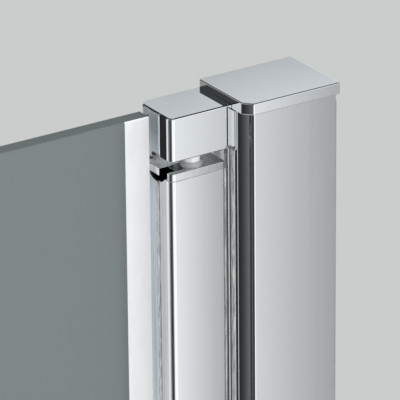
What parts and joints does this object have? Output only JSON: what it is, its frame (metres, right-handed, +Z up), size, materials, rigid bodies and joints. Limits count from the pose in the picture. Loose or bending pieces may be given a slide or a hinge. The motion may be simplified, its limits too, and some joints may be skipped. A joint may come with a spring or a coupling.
{
  "type": "pivot shower door",
  "caption": "Niche shower door: a framed-edge glass leaf on a rise-and-fall pivot hinge, wall profiles, magnetic seals and threshold rail.",
  "frame": {"origin": "on the hinge-side wall face, at the foot of its wall channel and midway between the channel's flanges", "axes": "+X along the closed door into the hinge-side wall, so the door lies at x below 0; +Y into the shower; +Z up from the tray"},
  "size_m": [0.9, 0.1159, 2],
  "materials": {
    "polished_aluminium": "bright polished and anodised",
    "satin_aluminium": "mill finish, sawn",
    "chrome": "polished chrome plate",
    "steel": "stainless",
    "pivot_plastic": "white acetal",
    "glass": "satin-etched safety glass with a clear edge band",
    "tape": "white foam bonding tape",
    "clear_seal": "clear soft PVC",
    "magnet": "magnetic strip"
  },
  "bodies": {
    "frame": {"wall_channel": "satin_aluminium", "cover_profile": "polished_aluminium", "cover_screws": "steel", "screw_covers": "chrome", "top_cap": "chrome", "bottom_cap": "chrome", "hinge_jamb": "polished_aluminium", "jamb_seal": "clear_seal", "top_pivot_block": "chrome", "bottom_pivot_block": "chrome", "block_screws": "steel", "bottom_pivot_pin": "steel", "lower_lift_cam": "pivot_plastic", "strike_channel": "satin_aluminium", "strike_cover": "polished_aluminium", "strike_cover_screws": "steel", "strike_screw_covers": "chrome", "strike_top_cap": "chrome", "strike_bottom_cap": "chrome", "strike_seal": "clear_seal", "strike_magnet": "magnet", "threshold_rail": "polished_aluminium"},
    "pivot_pin": {"top_pivot_pin": "pivot_plastic"},
    "leaf": {"hinge_profile": "polished_aluminium", "top_end_cap": "satin_aluminium", "bottom_end_cap": "satin_aluminium", "end_cap_screws": "steel", "top_bush": "pivot_plastic", "upper_lift_cam": "pivot_plastic", "glass_pane": "glass", "bonding_tape": "tape", "flank_gasket": "clear_seal", "hinge_lip_seal": "clear_seal", "drip_seal": "clear_seal", "closing_seal": "clear_seal", "closing_magnet": "magnet", "outer_handle": "chrome", "inner_handle": "chrome", "handle_studs": "steel", "handle_washers": "pivot_plastic", "handle_grub_screws": "steel"}
  },
  "joints": [
    {"name": "lift", "type": "slide", "parent": "frame", "child": "pivot_pin", "axis": [0, 0, 1], "range_m": [0, 0.0025]},
    {"name": "swing", "type": "hinge", "parent": "pivot_pin", "child": "leaf", "pos_m": [-0.068, -0.00155, 1], "axis": [0, 0, 1], "range_deg": [0, 90]}
  ],
  "couplings": [
    {"joint": "lift", "follows": "swing", "m_per_rad": 0.00159}
  ]
}
